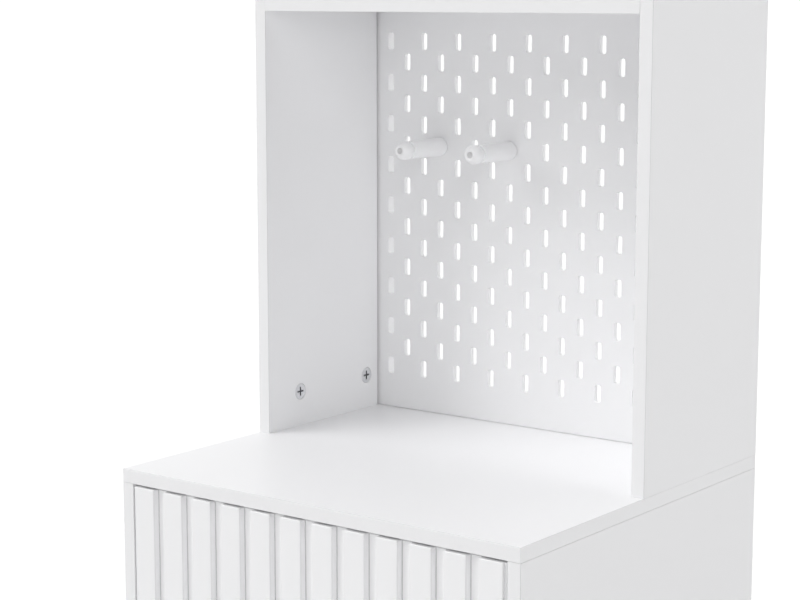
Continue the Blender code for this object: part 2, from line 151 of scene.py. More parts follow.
floor_finish = bpy.data.materials.new("pale_studio_floor")
floor_finish.use_nodes = True
tree = floor_finish.node_tree
tree.nodes.clear()
matt = add(tree, "ShaderNodeBsdfDiffuse", {"Color": FLOOR_PAINT})
share = add(tree, "ShaderNodeMath", {1: FLOOR_GLOW}, operation="MULTIPLY")
join(tree, seen_rays(tree), 0, share, 0)
glow = add(tree, "ShaderNodeEmission", {"Color": WHITE})
join(tree, share, 0, glow, "Strength")
both = add(tree, "ShaderNodeAddShader")
join(tree, matt, "BSDF", both, 0)
join(tree, glow, "Emission", both, 1)
join(tree, both, 0, add(tree, "ShaderNodeOutputMaterial"), "Surface")
floor.data.materials.append(floor_finish)
print(f"floor: {FLOOR_SPAN:.0f} m across, glow {FLOOR_GLOW}")

# %% [markdown]
# ## Light
#
# The picture's light is soft. Three broad suns stand for it: a key from the upper left, which leaves the
# left of the pegboard darker and brightens its right by way of the right side board, a higher one from the
# front for all that lies flat, and a low fill from the camera's side, which reaches into every gap that the
# camera can see. Lamps with a size could do this too, but they fade with distance and would spot the floor.
# A sun with a wide disc is as soft and falls the same on everything. As a lamp the sky is like a studio
# with a white backdrop, bright behind the stand and dim in front. To the eye it is white all over, so that
# the background stays white while the boards keep their shading.

# %% Hang the sky and three broad suns
SKY_FRONT = 0.10
SKY_BACK = 1.0
SKY_SEEN = 1.0
FRONT_ENDS = -0.2
BACK_STARTS = 0.4
SUNS = {
    "key_light": {"turn": -50, "height": 35, "disc": 45, "strength": 1.56},
    "top_light": {"turn": -16, "height": 58, "disc": 30, "strength": 0.74},
    "fill_light": {"turn": 46, "height": 10, "disc": 45, "strength": 0.72},
}

sky = bpy.data.worlds.new("white_sky")
bpy.context.scene.world = sky
sky.use_nodes = True
tree = sky.node_tree
tree.nodes.clear()
depth = add(tree, "ShaderNodeSeparateXYZ")
join(tree, add(tree, "ShaderNodeTexCoord"), "Generated", depth, "Vector")
sky_range = {"From Min": FRONT_ENDS, "From Max": BACK_STARTS, "To Min": SKY_FRONT, "To Max": SKY_BACK}
sky_level = add(tree, "ShaderNodeMapRange", sky_range, interpolation_type="SMOOTHSTEP")
join(tree, depth, "Y", sky_level, "Value")
lighting = add(tree, "ShaderNodeBackground", {"Color": WHITE})
join(tree, sky_level, "Result", lighting, "Strength")
showing = add(tree, "ShaderNodeBackground", {"Color": WHITE, "Strength": SKY_SEEN})
choice = add(tree, "ShaderNodeMixShader")
join(tree, seen_rays(tree), 0, choice, 0)
join(tree, lighting, 0, choice, 1)
join(tree, showing, 0, choice, 2)
join(tree, choice, 0, add(tree, "ShaderNodeOutputWorld"), "Surface")

for name, sun in SUNS.items():
    aim = (math.radians(90 - sun["height"]), 0, math.radians(sun["turn"]))
    bpy.ops.object.light_add(type="SUN", rotation=aim)
    lamp = bpy.context.object
    lamp.name = name
    lamp.data.angle = math.radians(sun["disc"])
    lamp.data.energy = sun["strength"]
    print(f"{name}: strength {sun['strength']}, {sun['height']} degrees high")
bpy.context.scene.view_settings.view_transform = "Standard"
print(f"sky: {SKY_FRONT} in front and {SKY_BACK} behind as a lamp, {SKY_SEEN} to the eye")

# %% [markdown]
# ## What a white surface shows
#
# Nothing on this stand is one flat white. Faced boards carry printed paper that is pressed with a fine
# pearl, sprayed paint has a soft orange peel, and both drift a little in tone over a hand's breadth. Each
# effect is a node group, so that every finish that needs it sets its own grain and gloss. All groups here
# read a place and four values, and give the same three results: Drift, a slow change of tone; Gloss, the
# roughness from point to point; and Height, the relief.

# %% Start a node group
GROUP_SOCKETS = {"INPUT": ("Grain", "Patch", "Roughness", "Spread"), "OUTPUT": ("Drift", "Gloss", "Height")}


def new_group(name):
    """A shader node group that reads a place and four values, and gives Drift, Gloss and Height."""
    group = bpy.data.node_groups.new(name, "ShaderNodeTree")
    group.interface.new_socket(name="Place", in_out="INPUT", socket_type="NodeSocketVector")
    for way, sockets in GROUP_SOCKETS.items():
        for socket in sockets:
            group.interface.new_socket(name=socket, in_out=way, socket_type="NodeSocketFloat")
    return group, group.nodes.new("NodeGroupInput"), group.nodes.new("NodeGroupOutput")


def noise_of_size(group, source, size_socket, detail):
    """Noise whose blobs are as large, in metres, as the group's input of that name says."""
    per_metre = add(group, "ShaderNodeMath", {0: 1.0}, operation="DIVIDE")
    join(group, source, size_socket, per_metre, 1)
    noise = add(group, "ShaderNodeTexNoise", {"Detail": detail})
    join(group, source, "Place", noise, "Vector")
    join(group, per_metre, 0, noise, "Scale")
    return noise


def spread_gloss(group, source, noise, output):
    """Roughness about a middle value: the group's Roughness, more or less by its Spread."""
    centred = add(group, "ShaderNodeMath", {1: 0.5}, operation="SUBTRACT")
    join(group, noise, "Fac", centred, 0)
    gloss = add(group, "ShaderNodeMath", operation="MULTIPLY_ADD")
    join(group, centred, 0, gloss, 0)
    join(group, source, "Spread", gloss, 1)
    join(group, source, "Roughness", gloss, 2)
    join(group, gloss, 0, output, "Gloss")


print("helpers ready: new_group, noise_of_size, spread_gloss")

# %% [markdown]
# The pressed pearl is a fine noise about a millimetre across for the relief, with a slow noise for the
# drift. The orange peel is the same idea without the finer octaves, because wet paint flows level.

# %% Build the pearl and the orange peel
def two_noises(name, grain_detail, patch_detail, glossed_by="Patch"):
    """A group with a fine noise for the relief and a slow one for the drift; either spreads the gloss."""
    group, source, output = new_group(name)
    noises = {
        "Grain": noise_of_size(group, source, "Grain", grain_detail),
        "Patch": noise_of_size(group, source, "Patch", patch_detail),
    }
    join(group, noises["Patch"], "Fac", output, "Drift")
    join(group, noises["Grain"], "Fac", output, "Height")
    spread_gloss(group, source, noises[glossed_by], output)
    return group


pearl = two_noises("pressed_pearl", grain_detail=2.0, patch_detail=1.0)
peel = two_noises("orange_peel", grain_detail=0.0, patch_detail=1.0)
print(f"groups: {pearl.name}, {peel.name}")

# %% [markdown]
# A finish puts one such group into a material: Drift mixes two near tones for the base colour, Gloss drives
# the roughness, and Height a bump. Everything reads Object coordinates, so the grain keeps its real size on
# each piece and doesn't slide when the piece moves. A mapping can stretch the pattern along one direction.

# %% A finish from a group
def make_finish(
    name, group, tones, grain, roughness, spread, relief, patch=0.0, metallic=0.0, stretch=(1, 1, 1)
):
    """A material from a surface group: two near tones, the group's values, and its relief in metres."""
    finish = bpy.data.materials.new(name)
    finish.use_nodes = True
    tree = finish.node_tree
    shader = tree.nodes["Principled BSDF"]
    shader.inputs["Metallic"].default_value = metallic
    mapping = add(tree, "ShaderNodeMapping", {"Scale": stretch})
    join(tree, add(tree, "ShaderNodeTexCoord"), "Object", mapping, "Vector")
    values = {"Grain": grain, "Patch": patch, "Roughness": roughness, "Spread": spread}
    surface = add(tree, "ShaderNodeGroup", values, node_tree=group)
    join(tree, mapping, "Vector", surface, "Place")
    mix = add(tree, "ShaderNodeMix", {"A": (*tones[0], 1), "B": (*tones[1], 1)}, data_type="RGBA")
    join(tree, surface, "Drift", mix, "Factor")
    join(tree, mix, "Result", shader, "Base Color")
    join(tree, surface, "Gloss", shader, "Roughness")
    bump = add(tree, "ShaderNodeBump", {"Strength": 1.0, "Distance": relief})
    join(tree, surface, "Height", bump, "Height")
    join(tree, bump, "Normal", shader, "Normal")
    return finish


print("helper ready: make_finish")

# %% [markdown]
# The boards' broad faces are pressed paper. Their narrow edges are covered with a plastic band, which is a
# little greyer, and the hairline where band and paper meet is darker than both.

# %% Finishes of the boards
board_face = make_finish(
    "white_faced_board", pearl, ((0.922, 0.922, 0.932), (0.934, 0.934, 0.944)),
    grain=0.0009, patch=0.13, roughness=0.34, spread=0.08, relief=0.000006,
)
edge_band = make_finish(
    "white_edge_band", pearl, ((0.832, 0.832, 0.841), (0.844, 0.844, 0.853)),
    grain=0.0016, patch=0.09, roughness=0.36, spread=0.06, relief=0.000004,
)
band_joint = make_finish(
    "edge_band_joint", pearl, ((0.62, 0.62, 0.63), (0.70, 0.70, 0.71)),
    grain=0.0006, patch=0.02, roughness=0.50, spread=0.10, relief=0.000004,
)
print(f"finishes: {board_face.name}, {edge_band.name}, {band_joint.name}")

# %% [markdown]
# ## Working by hand, in code
#
# The next helpers do what a hand does in edit mode: make one piece the only selected one, start a box at
# its size and place, and pick edges or faces by where they lie and which way they point, to round or to
# paint them. The place is applied at once, so a piece's object stays at the origin and its mesh holds where
# it is.

# %% Start a piece
def only(piece):
    """Make a piece the only selected and the active object."""
    bpy.ops.object.select_all(action="DESELECT")
    piece.select_set(True)
    bpy.context.view_layer.objects.active = piece
    return piece


def settle_place(piece):
    """Put an object's move, turn and size into its mesh."""
    only(piece)
    bpy.ops.object.transform_apply(location=True, rotation=True, scale=True)
    return piece


def start_box(name, low, high):
    """A box primitive between two corners."""
    low, high = Vector(low), Vector(high)
    bpy.ops.mesh.primitive_cube_add(size=1, location=(low + high) / 2, scale=high - low)
    piece = bpy.context.object
    piece.name = name
    return settle_place(piece)


print("helpers ready: only, settle_place, start_box")

# %% Pick, round and paint
NEAR = 1e-5
ALONG = 0.9
FLAT = 0.999


def open_for(piece, kind):
    """Open a piece in edit mode with nothing selected, ready to pick faces or edges."""
    only(piece)
    bpy.ops.object.mode_set(mode="EDIT")
    bpy.ops.mesh.select_mode(type=kind)
    bpy.ops.mesh.select_all(action="DESELECT")
    return bmesh.from_edit_mesh(piece.data)


def close():
    """Leave edit mode."""
    bpy.ops.object.mode_set(mode="OBJECT")


def pick_faces(piece, wanted):
    """Select the faces whose middle and normal are wanted; the piece stays open in edit mode."""
    shape = open_for(piece, "FACE")
    for face in shape.faces:
        face.select_set(bool(wanted(face.calc_center_median(), face.normal)))
    bmesh.update_edit_mesh(piece.data)


def round_edges(piece, offset, steps, wanted):
    """Bevel the edges whose middle and direction are wanted."""
    shape = open_for(piece, "EDGE")
    for edge in shape.edges:
        start, end = (corner.co for corner in edge.verts)
        edge.select_set(bool(wanted((start + end) / 2, (end - start).normalized())))
    bmesh.update_edit_mesh(piece.data)
    bpy.ops.mesh.bevel(offset=offset, segments=steps, affect="EDGES")
    close()


def paint(piece, finish, wanted):
    """Give the faces whose middle and normal are wanted a finish of their own."""
    pick_faces(piece, wanted)
    if finish.name not in piece.data.materials:
        piece.data.materials.append(finish)
    piece.active_material_index = piece.data.materials.find(finish.name)
    bpy.ops.object.material_slot_assign()
    close()


print("helpers ready: open_for, close, pick_faces, round_edges, paint")

# %% [markdown]
# Cuts are made with a cutter and a Boolean that is applied at once. A Boolean can leave doubled points, so
# they are merged. The last step of every piece is its shading: smooth over its roundings, sharp at real
# corners, with the normals weighted by area so that a broad flat face stays flat right up to its rounded
# edge. Then the piece is handed to the frame.

# %% Cut, shade and hand over
SMOOTH_ANGLE = math.radians(38)


def cut_away(piece, cutter, operation="DIFFERENCE"):
    """Cut a cutter's shape out of a piece, or add it with UNION, remove the cutter and merge doubles."""
    step = piece.modifiers.new("cut", "BOOLEAN")
    step.operation = operation
    step.object = cutter
    only(piece)
    bpy.ops.object.modifier_apply(modifier=step.name)
    bpy.data.objects.remove(cutter)
    bpy.ops.object.mode_set(mode="EDIT")
    bpy.ops.mesh.select_all(action="SELECT")
    bpy.ops.mesh.remove_doubles(threshold=NEAR)
    bpy.ops.mesh.dissolve_degenerate(threshold=NEAR)
    close()
    return piece


def shade(piece):
    """Smooth over roundings, sharp at corners, flat on flat faces."""
    only(piece)
    bpy.ops.object.shade_smooth_by_angle(angle=SMOOTH_ANGLE)
    even = piece.modifiers.new("even_normals", "WEIGHTED_NORMAL")
    even.keep_sharp = True
    bpy.ops.object.modifier_apply(modifier=even.name)
    return piece


def hand_over(piece, slot, *nodes, body=None):
    """Shade a finished piece, put it on its body and let it stand for its nodes of the frame."""
    shade(piece)
    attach(piece, body or frame["nodes"][nodes[0]]["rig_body"])
    if nodes:
        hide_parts(*nodes)
    return piece


print("helpers ready: cut_away, shade, hand_over")

# %% [markdown]
# ## Faced boards
#
# Bench top, sides, shelf, top and plinth are cut from 12 mm faced board. A board could stay a plain box,
# but a real one has eased edges, less than a millimetre round, and they are what draws the fine bright and
# dark lines along every corner. So each board is a box whose edges are bevelled. The narrow edges then get
# the band, and the last strip of the rounding, next to the paper, gets the darker joint. The two caps,
# bench top and top board, have ends as bright as their faces, so those are papered too. An end that butts
# against another board stays sharp and is drawn up to it, as the screws do, so that only a hairline is left
# between the two. Under the bench top the picture shows a wider seam, a quarter of a millimetre.

# %% Make one faced board
FIT = 0.0003
EDGE_ROUNDING = 0.0005
EDGE_STEPS = 3
HAIRLINE = 0.00003
CAP_SEAM = 0.00025


def faced_board(node, butted="", seam=HAIRLINE):
    """A board with eased edges and banded narrow sides; butted names its sharp ends, such as "-x +x"."""
    low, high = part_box(node)
    size = high - low
    thin = min(range(3), key=lambda axis: size[axis])
    ends = []
    for end in butted.split():
        axis = "xyz".index(end[1])
        corner = high if end[0] == "+" else low
        corner[axis] += FIT - seam if end[0] == "+" else seam - FIT
        ends.append((axis, corner[axis]))
    piece = start_box(f"{node}_board", low, high)
    round_edges(
        piece, EDGE_ROUNDING, EDGE_STEPS,
        lambda middle, along: all(abs(middle[axis] - place) > NEAR for axis, place in ends),
    )
    piece.data.materials.append(board_face)
    paint(piece, edge_band, lambda middle, normal: abs(normal[thin]) < ALONG)
    paint(piece, band_joint, lambda middle, normal: ALONG <= abs(normal[thin]) < FLAT)
    return piece


for node in ("bench_top", "top_board"):
    piece = faced_board(node, "-z", seam=FIT)
    paint(piece, board_face, lambda middle, normal: abs(normal.x) > ALONG)
    hand_over(piece, "white_board", node)
cross_boards = ("cabinet_bottom", "plinth_board_front", "plinth_board_rear")
for node in cross_boards:
    hand_over(faced_board(node, "-x +x"), "white_board", node)
print(f"boards without cuts: 2 caps and {len(cross_boards)} cross boards")

# %% [markdown]
# The sides of the cabinet and the hutch have grooves along their length, in which the thin panels stand. In
# the hutch the groove is wider than the pegboard: the play in front of it is the dark line beside the
# panel. A groove could be three bisects and an extrusion, but a box-shaped cutter is what a grooving saw
# does.

# %% Groove the upright boards
PANEL_PLAY = 0.0027
OVERRUN = 0.01
SIGNS = {"left": -1, "right": 1}
Y, Z = 1, 2


def groove(piece, node, panel, sign, along, play=FIT):
    """Saw a panel's groove into the inner face of a side board, past both of its ends along Y or Z."""
    low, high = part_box(panel)
    board_low, board_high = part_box(node)
    floor_x = sign * (high.x + FIT)
    open_x = sign * (high.x - OVERRUN)
    saw_low = Vector((min(floor_x, open_x), low.y - play, low.z - FIT))
    saw_high = Vector((max(floor_x, open_x), high.y + FIT, high.z + FIT))
    saw_low[along] = board_low[along] - OVERRUN
    saw_high[along] = board_high[along] + OVERRUN
    return cut_away(piece, start_box("groove_saw", saw_low, saw_high))


for hand, sign in SIGNS.items():
    node = f"cabinet_side_{hand}"
    side = groove(faced_board(node, "+z", seam=CAP_SEAM), node, "cabinet_back", sign, Z)
    hand_over(side, "white_board", node)
print("cabinet sides: grooved for the back panel")

# %% [markdown]
# Flat-pack boards are drawn together by cam locks: zinc discs, 15 mm across, flush in a pocket. The hutch
# sides have four each and the shelf has four on its underside. The pockets are drilled with a round cutter,
# a little larger than the disc, so that a fine dark ring stays around each lock.

# %% Drill the cam pockets
ROUND_SIDES = 48
POCKET_DEEPER = 0.0003
TURNS = {"X": (0, math.radians(90), 0), "Y": (math.radians(90), 0, 0), "Z": (0, 0, 0)}


def start_rod(middle, direction, radius, depth, sides=ROUND_SIDES):
    """A cylinder primitive along X, Y or Z."""
    bpy.ops.mesh.primitive_cylinder_add(
        vertices=sides, radius=radius, depth=depth, location=middle, rotation=TURNS[direction]
    )
    return settle_place(bpy.context.object)


def drill(piece, middle, direction, radius, depth):
    """Drill a round hole with this middle and depth along X, Y or Z."""
    return cut_away(piece, start_rod(middle, direction, radius, depth))


def cam_nodes(part):
    return [node for node in frame["nodes"] if node.startswith("cam_lock_") and part in node]


def drill_pockets(piece, nodes, direction):
    """Drill a pocket for each cam lock, out through the board's face and a little deeper than the lock."""
    for node in nodes:
        low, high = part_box(node)
        across = max(high - low)
        depth = min(high - low)
        drill(piece, (low + high) / 2, direction, across / 2 + FIT, depth + 2 * POCKET_DEEPER)
    return piece


for hand, sign in SIGNS.items():
    node = f"hutch_side_{hand}"
    side = groove(faced_board(node, "-z +z"), node, "pegboard", sign, Z, PANEL_PLAY)
    side_cams = [cam for cam in cam_nodes(hand) if "_shelf_" not in cam]
    hand_over(drill_pockets(side, side_cams, "X"), "white_board", node)
shelf = drill_pockets(faced_board("niche_shelf", "-x +x"), cam_nodes("_shelf_"), "Z")
hand_over(shelf, "white_board", "niche_shelf")
print(f"hutch: {len(cam_nodes(''))} cam pockets drilled")

# %% [markdown]
# ## Cam locks
#
# A cam lock is a die-cast zinc disc with a cross recess for the screwdriver. Die-cast zinc is dull, with a
# fine cast grain. It shares a group with the rolled steel of the slides: fine noise for the metal's skin, a
# wider one for its tone, and, stretched along one direction, the lines that rolling leaves.

# %% Build the metal finishes
metal = two_noises("metal_skin", grain_detail=3.0, patch_detail=2.0, glossed_by="Grain")
cast_zinc = make_finish(
    "die_cast_zinc", metal, ((0.72, 0.72, 0.74), (0.84, 0.84, 0.86)),
    grain=0.0005, patch=0.004, roughness=0.46, spread=0.18, relief=0.00001, metallic=1.0,
)
# A dark zinc for the faces inside the cross: painted shade in the recess.
recess_zinc = make_finish(
    "zinc_recess_painted_shade", metal, ((0.20, 0.20, 0.21), (0.30, 0.30, 0.31)),
    grain=0.0004, patch=0.002, roughness=0.5, spread=0.2, relief=0.00001, metallic=1.0,
)
print(f"finishes: {cast_zinc.name}, {recess_zinc.name}")

# %% [markdown]
# One lock is modelled at the origin with its face up: a cylinder whose rim is bevelled and whose face is
# inset and pushed down a hair. The cross is cut by two bars that taper to the bottom, as the screwdriver
# does, and its faces get a dark zinc: painted shade for the shade that fills the recess. Then the lock is
# copied to each pocket, each copy with its own mesh, and turned so that its face looks out.

# %% Model one cam lock
CAM_RIM = 0.0011
CAM_RIM_EASE = 0.0004
CAM_DISH = 0.0002
CROSS_LENGTH = 0.0105
CROSS_WIDTH = 0.0022
CROSS_DEPTH = 0.0025
CROSS_TAPER = 0.7
EASE_STEPS = 2


def cut_cross(piece, length, width, depth, face_z=0):
    """Cut a cross into a face at this height with two bars, narrower at their lower end."""
    taper = (CROSS_TAPER, CROSS_TAPER, 1)
    for x, y in ((length / 2, width / 2), (width / 2, length / 2)):
        bar = start_box("recess_bar", (-x, -y, face_z - depth), (x, y, face_z + depth))
        pick_faces(bar, lambda middle, normal: normal.z < -ALONG)
        bpy.ops.transform.resize(value=taper, center_override=(0, 0, face_z - depth))
        close()
        cut_away(piece, bar)


low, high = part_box("cam_lock_lower_front_left")
cam_radius = (high.y - low.y) / 2
cam_depth = high.x - low.x
cam_model = start_rod((0, 0, -cam_depth / 2), "Z", cam_radius, cam_depth)
cam_model.data.materials.append(cast_zinc)
round_edges(cam_model, CAM_RIM_EASE, EASE_STEPS, lambda middle, along: middle.z > -NEAR)
pick_faces(cam_model, lambda middle, normal: normal.z > FLAT)
bpy.ops.mesh.inset(thickness=CAM_RIM)
bpy.ops.transform.translate(value=(0, 0, -CAM_DISH))
close()
cut_cross(cam_model, CROSS_LENGTH, CROSS_WIDTH, CROSS_DEPTH)
# The faces inside the cross are painted dark: painted shade in the recess.
paint(
    cam_model,
    recess_zinc,
    lambda middle, normal: -CROSS_DEPTH - NEAR < middle.z < -CAM_DISH - NEAR
    and max(abs(middle.x), abs(middle.y)) < CROSS_LENGTH / 2 + NEAR,
)
print(f"cam lock: {len(cam_model.data.polygons)} faces")

# %% Copy the cam lock into its pockets
CAM_TURNS = {"left": (0, math.radians(90), 0), "right": (0, math.radians(-90), 0)}
FACE_DOWN = (math.radians(180), 0, 0)


def copy_of(model, name, place, turn):
    """A copy of a model with its own mesh, turned and then put in its place."""
    only(model)
    bpy.ops.object.duplicate(linked=False)
    piece = bpy.context.object
    piece.name = name
    piece.rotation_euler = turn
    piece.location = place
    return settle_place(piece)


for node in cam_nodes(""):
    low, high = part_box(node)
    place = (low + high) / 2
    hand = "left" if node.endswith("left") else "right"
    if "_shelf_" in node:
        place.z = low.z
        turn = FACE_DOWN
    else:
        place.x = high.x if hand == "left" else low.x
        turn = CAM_TURNS[hand]
    hand_over(copy_of(cam_model, f"{node}_disc", place, turn), "cam_zinc", node)
bpy.data.objects.remove(cam_model)
print(f"cam locks placed: {len(cam_nodes(''))}")

# %% [markdown]
# ## Fluted drawer fronts
#
# The two fronts are lacquered fibreboard with upright flutes: eleven flat channels with ribs between them,
# and a shallow rebate at both ends. They could be cut as grooves from a solid block. Here the way is turned
# round, which keeps every edge at hand: a plate as thick as the flutes' floor is bisected at each rib, ribs
# and ends are extruded to the rebates' floor, then the ribs alone to their full height, and their long
# edges are rounded. At last the whole outline is eased at the top and the bottom, where the bevel runs up
# over the ribs and down through the flutes. The picture shows finer gaps than the solids have, so the
# fronts are drawn 1.2 mm taller, with outer ribs that much wider. Pale flutes with a grey line in their
# inner corners are painted: the walls and floors of the flutes get a whiter lacquer than the ribs, a
# painted highlight that lifts their shade, and the inner corners a strip of grey, which is painted shade.

# %% Lacquer of the fronts
front_lacquer = make_finish(
    "white_lacquer", peel, ((0.862, 0.862, 0.871), (0.876, 0.876, 0.885)),
    grain=0.004, patch=0.09, roughness=0.38, spread=0.08, relief=0.00001,
)
# A whiter lacquer for the flutes' walls and floors: painted highlight that lifts the shade in the flutes.
flute_lacquer = make_finish(
    "white_flute_lacquer", peel, ((0.924, 0.924, 0.933), (0.938, 0.938, 0.947)),
    grain=0.004, patch=0.09, roughness=0.42, spread=0.08, relief=0.00001,
)
# A grey for painted shade, in the flutes' inner corners and the middle of the pegs' dishes.
grey_primer = make_finish(
    "grey_primer", peel, ((0.62, 0.62, 0.625), (0.68, 0.68, 0.685)),
    grain=0.0009, patch=0.004, roughness=0.60, spread=0.10, relief=0.00002,
)
print(f"finishes: {front_lacquer.name}, {flute_lacquer.name}, {grey_primer.name}")

# %% Slice and pull
SAME_PLANE = math.radians(1)


def slice_at(piece, direction, places):
    """Bisect a piece at places along a direction."""
    only(piece)
    bpy.ops.object.mode_set(mode="EDIT")
    for place in places:
        bpy.ops.mesh.select_all(action="SELECT")
        bpy.ops.mesh.bisect(plane_co=Vector(direction) * place, plane_no=direction)
    close()


def pull(way):
    """Extrude the picked faces."""
    bpy.ops.mesh.extrude_region_move(TRANSFORM_OT_translate={"value": way})


def join_flat(piece):
    """Dissolve the lines between faces that lie in one plane."""
    only(piece)
    bpy.ops.object.mode_set(mode="EDIT")
    bpy.ops.mesh.select_all(action="SELECT")
    bpy.ops.mesh.dissolve_limited(angle_limit=SAME_PLANE)
    close()


print("helpers ready: slice_at, pull, join_flat")

# %% Model a fluted front
FLUTE_COUNT = 11
FLUTE_WIDTH = 0.0114
FLUTE_DEPTH = 0.0060
END_REBATE = 0.0032
REBATE_DEPTH = 0.0025
RIB_ROUNDING = 0.0010
RIB_STEPS = 4
FRONT_EASE = 0.0008
FRONT_GROWTH = 0.0012
# CORNER_LINE is the width of the grey strip of painted shade in each flute's inner corners.
CORNER_LINE = 0.0012
NOT_BACK = 0.5
TO_RIGHT = (1, 0, 0)


def rib_edges(low, high):
    """The left and right x of every rib, between the rebates at both ends of the front."""
    ribbed = high.x - low.x - 2 * END_REBATE
    rib = (ribbed - FLUTE_COUNT * FLUTE_WIDTH) / (FLUTE_COUNT + 1)
    lefts = [low.x + END_REBATE + i * (rib + FLUTE_WIDTH) for i in range(FLUTE_COUNT + 1)]
    rights = [left + rib for left in lefts]
    lefts[0] -= FRONT_GROWTH
    rights[-1] += FRONT_GROWTH
    return list(zip(lefts, rights))


def within(x, spans, margin=0):
    return any(left - margin < x < right + margin for left, right in spans)


def paint_flutes(piece, face_y, flutes):
    """The walls and floors of the flutes in a whiter lacquer, a painted highlight, with a grey strip of
    painted shade in the inner corners.
    """
    slice_at(piece, TO_RIGHT, [x for a, b in flutes for x in (a + CORNER_LINE, b - CORNER_LINE)])
    paint(
        # The flutes' walls and floors get the whiter lacquer: painted highlight.
        piece,
        flute_lacquer,
        lambda middle, normal: middle.y > face_y + RIB_ROUNDING
        and normal.y < NOT_BACK
        and abs(normal.z) < ALONG
        and within(middle.x, flutes, NEAR),
    )
    # A grey strip along the flutes' inner corners: painted shade.
    paint(
        piece,
        grey_primer,
        lambda middle, normal: normal.y < -ALONG
        and any(0 < min(middle.x - left, right - middle.x) < CORNER_LINE for left, right in flutes),
    )


def fluted_front(node):
    """A front built up from the flutes' floor: ribs and ends pulled out, edges rounded, flutes painted."""
    low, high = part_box(node)
    ribs = rib_edges(low, high)
    high.z += FRONT_GROWTH
    piece = start_box(f"{node}_fluted", (low.x, low.y + FLUTE_DEPTH, low.z), high)
    slice_at(piece, TO_RIGHT, [x for rib in ribs for x in rib])
    ends = [(low.x, ribs[0][1]), (ribs[-1][0], high.x)]
    for raised, rise in ((ribs + ends, FLUTE_DEPTH - REBATE_DEPTH), (ribs, REBATE_DEPTH)):
        pick_faces(piece, lambda middle, normal: normal.y < -ALONG and within(middle.x, raised))
        pull((0, -rise, 0))
        close()
    join_flat(piece)
    round_edges(
        piece, RIB_ROUNDING, RIB_STEPS,
        lambda middle, along: abs(along.z) > ALONG and middle.y < low.y + NEAR,
    )
    round_edges(
        piece, FRONT_EASE, EDGE_STEPS,
        lambda middle, along: middle.z > high.z - NEAR or middle.z < low.z + NEAR,
    )
    piece.data.materials.append(front_lacquer)
    paint_flutes(piece, low.y, [(here[1], there[0]) for here, there in zip(ribs, ribs[1:])])
    return piece


LEVELS = ("upper", "lower")
for level in LEVELS:
    node = f"drawer_{level}_front"
    piece = hand_over(fluted_front(node), "white_lacquer", node)
    print(f"{piece.name}: {FLUTE_COUNT} flutes, {len(piece.data.polygons)} faces")

# %% [markdown]
# ## The pegboard
#
# A 5 mm hardboard panel, sprayed white on both sides, with upright slots, 6.5 by 16 mm, on a staggered
# grid. Seen at an angle, each slot shows the white behind the stand and, on its left, the thickness of the
# panel, so the slots have to be real holes. Punched edges are not sharp: paint builds up on them. So the
# cutter for one slot is a box whose corners are rounded by 2 mm, and it flares where it meets the panel's
# faces. Arrays spread it over the grid, once for the even columns and once for the odd ones, and each of
# the two grids is cut by one Boolean.

# %% A painted hardboard panel
PANEL_EASE = 0.0004

panel_paint = make_finish(
    "white_hardboard", peel, ((0.928, 0.928, 0.938), (0.940, 0.940, 0.950)),
    grain=0.0022, patch=0.08, roughness=0.45, spread=0.10, relief=0.00001,
)


def hardboard(node):
    """A panel in the place of a node, with eased edges, painted all over."""
    piece = start_box(f"{node}_panel", *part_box(node))
    round_edges(piece, PANEL_EASE, EASE_STEPS, lambda middle, along: True)
    piece.data.materials.append(panel_paint)
    return piece


print(f"finish: {panel_paint.name}")

# %% Model one slot cutter
SLOT_WIDTH = 0.0065
SLOT_HEIGHT = 0.0162
SLOT_CORNER = 0.0020
SLOT_EASE = 0.0003
SLOT_STEPS = 7
SLOT_PITCH = 0.020

panel_low, panel_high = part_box("pegboard")


def flare_end(cutter, middle, way, face_y):
    """Widen a cutter's end to the panel's face, then lead it straight out past the face."""
    width, height = SLOT_WIDTH + 2 * SLOT_EASE, SLOT_HEIGHT + 2 * SLOT_EASE
    wider = (width / SLOT_WIDTH, 1, height / SLOT_HEIGHT)
    pick_faces(cutter, lambda place, normal: normal.y * way > ALONG)
    pull((0, way * SLOT_EASE, 0))
    bpy.ops.transform.resize(value=wider, center_override=(middle.x, face_y, middle.z))
    pull((0, way * OVERRUN, 0))
    close()


def slot_cutter(middle):
    """A cutter for the slot with this middle, flared at both faces of the panel."""
    half = Vector((SLOT_WIDTH / 2, 0, SLOT_HEIGHT / 2))
    low = Vector((middle.x - half.x, panel_low.y + SLOT_EASE, middle.z - half.z))
    high = Vector((middle.x + half.x, panel_high.y - SLOT_EASE, middle.z + half.z))
    cutter = start_box("slot_cutter", low, high)
    round_edges(cutter, SLOT_CORNER, SLOT_STEPS, lambda place, along: abs(along.y) > ALONG)
    flare_end(cutter, middle, -1, panel_low.y)
    flare_end(cutter, middle, 1, panel_high.y)
    return cutter


def spread_over_grid(cutter, columns, rows):
    """Repeat a cutter over every second column and row."""
    for count, step in ((columns, (2 * SLOT_PITCH, 0, 0)), (rows, (0, 0, 2 * SLOT_PITCH))):
        array = cutter.modifiers.new("grid", "ARRAY")
        array.use_relative_offset = False
        array.use_constant_offset = True
        array.constant_offset_displace = step
        array.count = count
        only(cutter)
        bpy.ops.object.modifier_apply(modifier=array.name)
    return cutter


print("helpers ready: flare_end, slot_cutter, spread_over_grid")

# %% Cut the pegboard
SLOT_COLUMNS = 19
SLOT_ROWS = 17

